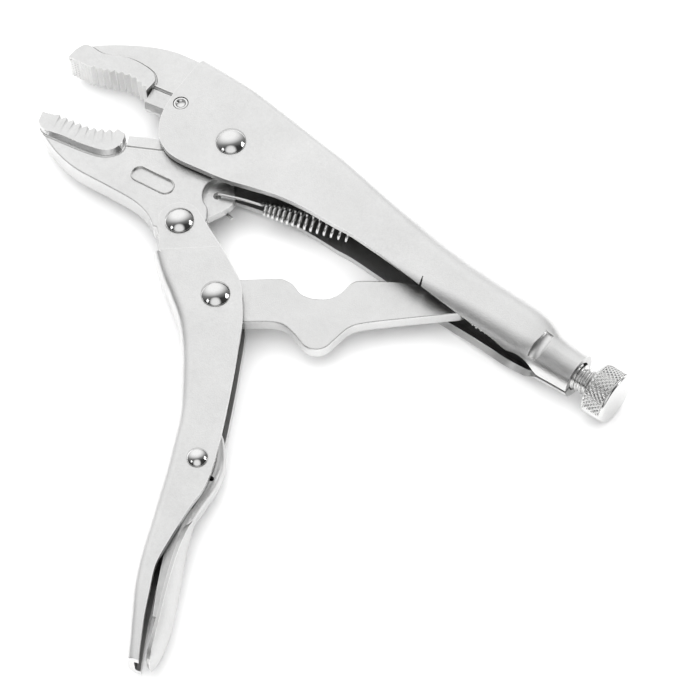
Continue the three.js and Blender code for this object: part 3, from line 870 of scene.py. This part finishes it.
def release_lever():
    """A narrow channel inside the lever handle, hollowed at its sides, that ends in the thumb pad."""
    rows = [
        (48.6, -67.0, 43.8, -69.0, RELEASE_HALF, 2.2),
        (53.6, -70.2, 44.6, -73.6, RELEASE_HALF, 2.2),
        (58.2, -75.6, 47.6, -78.6, RELEASE_HALF, 2.2),
        (60.3, -81.2, 50.2, -83.2, RELEASE_HALF, 2.2),
        (61.0, -87.0, 53.6, -88.2, RELEASE_HALF, 2.2),
        (61.6, -91.6, 56.8, -92.4, RELEASE_HALF, 2.2),
        (62.6, -95.4, 58.7, -96.8, RELEASE_HALF, 2.2),
        (64.9, -100.6, 61.0, -102.2, 2.9, 2.2),
        (69.3, -110.0, 66.1, -111.7, 2.7, 2.1),
        (72.9, -117.6, 70.5, -118.9, 2.5, 2.1),
    ]
    shell = straight_channel("release_lever_shell", rows, RELEASE_SHEET)
    # The release lever's outside takes the darker plate, which is painted shade.
    shell.data.materials[0] = RELEASE_PAINTED_SHADE
    joined(shell, thumb_pad())
    hollow_radius = 2.4
    hollow_depth = 0.5
    height = RELEASE_HALF + hollow_radius - hollow_depth
    hollows = [
        swept("hollow", [Vector((57.4, -83.6, z)), Vector((58.6, -90.6, z))], hollow_radius, 48)
        for z in (-height, height)
    ]
    small_hole = bar((58.2, -81.0), 0.75, 1, 4, 24)
    cut(shell, hole(RELEASE_PIVOT, SMALL_RIVET_RADIUS), small_hole, *hollows)
    return rounded(shell, 0.2)


finished(lever_handle(), "lever_body", "lever_handle", "satin_nickel")
finished(toggle_link(), "toggle_body", "toggle_link", "satin_nickel", SATIN)
finished(release_lever(), "release_body", "release_lever", "satin_nickel")


# Rivets and pin -----------------------------------------------------------------------------------

def rivet(name, centre, radius, head, wall, dome):
    """A domed head with a small rim on top, a straight shank and a flatter formed head underneath."""
    seat = wall + HEAD_GAP
    edge = 0.12
    formed_rim = 0.5
    rim = 0.25
    rim_step = 0.05
    dome_start = 0.35
    roundness = 2.5
    formed_head = [(0, -REST_DEPTH), (head * 0.70, -REST_DEPTH), (head * 0.78, edge - REST_DEPTH),
                   (head - edge, -seat - formed_rim - edge), (head, -seat - formed_rim), (head, -seat)]
    shank = [(radius, -seat), (radius, seat)]
    domed_head = [(head, seat), (head, seat + rim)]
    steps = 20
    for i in range(steps + 1):
        share = 1 - i / steps
        rise = dome_start + (dome - dome_start) * (1 - share ** roundness)
        domed_head.append(((head - rim_step) * share, seat + rise))
    piece = turned(name, formed_head + shank + domed_head, 72)
    piece.data.transform(Matrix.Translation(Vector((*centre, 0)) * MM))
    return shaded(cleaned(piece), 50)


def stake_pin():
    """The staking pin, with a round dimple in its near end and a cone in its far one."""
    end = 5.4
    edge = 0.15
    dimple_radius = 1.35
    dimple_depth = 0.7
    dimple_edge = 0.06
    profile = [(0, dimple_depth - end), (dimple_radius, -end), (SMALL_RIVET_RADIUS, -end),
               (SMALL_RIVET_RADIUS, end - edge), (SMALL_RIVET_RADIUS - edge, end),
               (dimple_radius + 0.1, end), (dimple_radius, end - dimple_edge)]
    steps = 8
    for i in range(1, steps + 1):
        angle = math.pi / 2 * i / steps
        reach = dimple_radius * math.cos(angle) if i < steps else 0
        profile.append((reach, end - dimple_edge - dimple_depth * math.sin(angle)))
    piece = turned("stake_pin_dimpled", profile, 48)
    piece.data.transform(Matrix.Translation(Vector((*STAKE_PIN, 0)) * MM))
    return shaded(cleaned(piece), 50)


DOME = 2.0
SMALL_DOME = 1.6
LARGE_RIVETS = (
    # node, body, centre, head radius, height of the wall under the head
    ("jaw_pivot_rivet", "upper_body", JAW_PIVOT, 4.0, 5.6),
    ("lever_pivot_rivet", "lower_jaw_body", LEVER_PIVOT, 3.8, 5.25),
    ("toggle_pivot_rivet", "lever_body", TOGGLE_PIVOT, 3.8, 5.4),
)
for node, body, centre, head, wall in LARGE_RIVETS:
    piece = rivet(node + "_domed", centre, RIVET_RADIUS, head, wall, DOME)
    finished(piece, body, node, "bright_nickel", BRIGHT)
finished(
    rivet("release_pivot_rivet_domed", RELEASE_PIVOT, SMALL_RIVET_RADIUS, 2.7, 5.4, SMALL_DOME),
    "lever_body", "release_pivot_rivet", "bright_nickel", BRIGHT,
)
finished(stake_pin(), "upper_body", "stake_pin", "bright_nickel", BRIGHT)


# Adjusting screw ----------------------------------------------------------------------------------

def adjusting_screw():
    """A helical thread: the radius at each point depends on where it lies between two turns."""
    pitch = 1.4
    depth = 0.6
    flank_slope = 2.6
    root_flat = 0.15
    sides = 48
    rows_per_turn = 12
    tip_face = 1.8
    tip_start = 2.0
    tip_length = 1.4
    end = KNOB_START - 0.3
    rows = round((end - SCREW_START) / pitch * rows_per_turn)
    rings = [[(SCREW_START, SCREW_Y + y, z) for y, z in arc((0, 0), tip_face, 0, 360, sides)[:-1]]]
    for i in range(rows + 1):
        x = SCREW_START + (end - SCREW_START) * i / rows
        from_tip = (x - SCREW_START) / tip_length
        limit = min(SCREW_RADIUS, tip_start + (SCREW_RADIUS - tip_start) * from_tip)
        ring = []
        for j in range(sides):
            phase = (x / pitch - j / sides) % 1.0
            rise = min(1.0, max(0.0, flank_slope * (0.5 - abs(phase - 0.5)) - root_flat))
            radius = min(limit, SCREW_RADIUS - depth + depth * rise)
            angle = 2 * math.pi * j / sides
            ring.append((x, SCREW_Y + radius * math.cos(angle), radius * math.sin(angle)))
        rings.append(ring)
    return shaded(ringed("adjusting_screw_threaded", rings), 60)


def knurled_knob():
    """The knob with diamond knurling between its rounded shoulder and its smooth rounded end."""
    radius = 6.8
    shoulder = 0.9
    end_radius = 0.65
    knurl_start = KNOB_START + shoulder
    knurl_end = KNOB_END - 1.0
    depth = 0.3
    diamond = 1.35
    groove_slope = 1.35
    around = 36
    columns_per_diamond = 8
    rows = 44
    sides = around * columns_per_diamond

    def ridge(value):
        return 1 - abs(2 * (value % 1.0) - 1)

    def ring(x, reach, knurled=0.0):
        points = []
        for j in range(sides):
            turn = j / sides
            angle = 2 * math.pi * turn
            lean = (x - KNOB_START) / diamond
            groove = min(ridge(turn * around + lean), ridge(turn * around - lean))
            r = reach - depth * knurled * (1 - min(1.0, groove_slope * groove))
            points.append((x, SCREW_Y + r * math.cos(angle), r * math.sin(angle)))
        return points

    rings = [ring(KNOB_START, 3.0), ring(KNOB_START, radius - 1.0)]
    shoulder_steps = 6
    for i in range(1, shoulder_steps + 1):
        angle = math.radians(90 * i / shoulder_steps)
        x = KNOB_START + shoulder * (1 - math.cos(angle))
        rings.append(ring(x, radius - shoulder + shoulder * math.sin(angle), 0.6 * math.sin(angle)))
    for i in range(rows + 1):
        rings.append(ring(knurl_start + (knurl_end - knurl_start) * i / rows, radius, 1.0))
    rings.append(ring(knurl_end + 0.1, radius - 0.22, 0.3))
    rounding_start = knurl_end + 0.25
    rounding_steps = 8
    for i in range(rounding_steps + 1):
        angle = math.radians(90 * i / rounding_steps)
        x = rounding_start + (KNOB_END - rounding_start) * math.sin(angle)
        rings.append(ring(x, radius - 0.1 - end_radius * (1 - math.cos(angle))))
    for reach in (4.0, 2.0, 0.4):
        rings.append(ring(KNOB_END, reach))
    return shaded(ringed("knurled_knob_turned", rings), 30)


finished(adjusting_screw(), "screw_body", "adjusting_screw", "bright_nickel", MACHINED)
finished(knurled_knob(), "knob_body", "knurled_knob", "bright_nickel", MACHINED)


# Return spring ------------------------------------------------------------------------------------

COIL_START = Vector((17.4, -8.9, 0))
COIL_END = Vector((41.0, -1.9, 0))
COIL_RADII = (1.45, 2.05)
WIRE_RADIUS = 0.4
COIL_TURNS = 15


def spring_route():
    """The wire's middle line, from the hook in the jaw's tab, through the coil, to the handle's anchor."""
    axis = (COIL_END - COIL_START).normalized()
    up = Vector((0, 0, 1))
    side = up.cross(axis)
    hook = [(11.8, -15.2, -2.2), (8.6, -14.6, -2.3), (6.0, -13.6, -1.7), (5.75, -13.5, 0), (6.0, -13.5, 1.7),
            (7.0, -13.1, 2.3), (12, -11.1, 2.3), (16.2, -9.4, 1.7)]
    route = [Vector(p) for p in smooth(hook, 6)]
    per_turn = 20
    widening = 0.35
    length = (COIL_END - COIL_START).length
    # The turns stand wider apart towards the handle.
    for i in range(COIL_TURNS * per_turn + 1):
        turn = i / per_turn
        share = turn / COIL_TURNS
        along = length * (0.667 * share + 0.333 * share * share)
        angle = 2 * math.pi * turn
        radius = COIL_RADII[0] + (COIL_RADII[1] - COIL_RADII[0]) * min(1.0, share / widening)
        route.append(COIL_START + axis * along + radius * (up * math.cos(angle) + side * math.sin(angle)))
    tail = [(42.8, -2.1, 1.7), (50.2, 0.6, 1.7), (56.4, 3.0, 1.7), (58.4, 3.4, 1.7)]
    return route + [Vector(p) for p in smooth(tail, 5)]


spring = shaded(swept("return_spring_coil", spring_route(), WIRE_RADIUS), 60)
spring.data.materials.append(SPRING_WIRE)
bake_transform(spring)
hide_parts("return_spring")


# Floor, light and camera --------------------------------------------------------------------------

def floor():
    """A pale sheet of paper, wide enough to fill the picture."""
    radius = 2200
    thickness = 4
    outline = arc((0, 0), radius, 0, 360, 64)[:-1]
    sheet = plate("studio_floor", outline, -REST_DEPTH - thickness, -REST_DEPTH)
    material, tree, shader = node_tree("studio paper")
    shade = spread(tree, noise(tree, 3, 2), 0.93, 0.95)
    colour = tree.nodes.new("ShaderNodeCombineColor")
    for channel_name in ("Red", "Green", "Blue"):
        tree.links.new(shade, colour.inputs[channel_name])
    tree.links.new(colour.outputs["Color"], shader.inputs["Base Color"])
    shader.inputs["Roughness"].default_value = 0.9
    sheet.data.materials.append(material)


def glow(tree, towards, stops):
    """The room's grey by how near a direction is to the middle of one bright wall."""
    direction = tree.nodes.new("ShaderNodeTexCoord")
    facing = tree.nodes.new("ShaderNodeVectorMath")
    facing.operation = "DOT_PRODUCT"
    facing.inputs[1].default_value = Vector(towards).normalized()
    tree.links.new(direction.outputs["Generated"], facing.inputs[0])
    rise = tree.nodes.new("ShaderNodeValToRGB")
    ramp = rise.color_ramp
    for place, grey in stops[2:]:
        ramp.elements.new(place)
    for element, (place, grey) in zip(ramp.elements, stops):
        element.position = place
        element.color = (grey, grey, grey, 1)
    tree.links.new(facing.outputs["Value"], rise.inputs["Fac"])
    return rise.outputs["Color"]


def room():
    """A dark room with two bright walls, one behind the tool and a narrower one in front."""
    world = bpy.data.worlds.new("white room")
    bpy.context.scene.world = world
    world.use_nodes = True
    tree = world.node_tree
    brighter = tree.nodes.new("ShaderNodeMath")
    brighter.operation = "MAXIMUM"
    behind = glow(tree, (-0.62, 0.52, 0.62), ((0.10, 0.04), (0.44, 0.22), (0.76, 0.80), (0.93, 1.04)))
    front = glow(tree, (0.42, -0.62, 0.66), ((0.80, 0.0), (0.86, 0.35), (0.92, 0.78), (0.98, 0.88)))
    tree.links.new(behind, brighter.inputs[0])
    tree.links.new(front, brighter.inputs[1])
    background = tree.nodes["Background"]
    tree.links.new(brighter.outputs["Value"], background.inputs["Color"])
    background.inputs["Strength"].default_value = 1.27


def softbox(name, place, size, power, mirrored=True):
    """A soft light aimed at the tool; an unmirrored one lights the paper without showing in the metal."""
    light = bpy.data.lights.new(name, "AREA")
    light.shape = "RECTANGLE"
    light.size, light.size_y = size
    light.energy = power
    lamp = bpy.data.objects.new(name, light)
    lamp.location = place
    lamp.rotation_euler = (-Vector(place)).to_track_quat("-Z", "Y").to_euler()
    lamp.visible_glossy = mirrored
    bpy.context.scene.collection.objects.link(lamp)


def camera():
    """Looks down at the tool, 31 degrees off the rivets' direction, with the jaws at the upper left."""
    # The picture's own right and up, as directions in the frame.
    right = Vector((0.7914, 0.6094, -0.0481))
    up = Vector((-0.5016, 0.6923, 0.5188))
    back = right.cross(up).normalized()
    target = ORIGIN + Vector((62.2, -29.9, 0)) * MM
    distance = 0.8466
    lens = bpy.data.cameras.new("camera")
    lens.sensor_width = 36
    lens.lens = 171.4
    view = bpy.data.objects.new("camera", lens)
    turn = Matrix((right, up, back)).transposed().to_4x4()
    view.matrix_world = Matrix.Translation(target + back * distance) @ turn
    bpy.context.scene.collection.objects.link(view)
    bpy.context.scene.camera = view


floor()
room()
camera()
softbox("overhead wash", (0, 0, 1.5), (2.8, 2.8), 46, mirrored=False)
softbox("key light", (0.9, 0.9, 0.5), (0.5, 0.4), 2.5)
softbox("fill light", (-0.5, -1.1, 0.7), (0.3, 0.3), 0.7)
bpy.context.scene.view_settings.view_transform = "Standard"
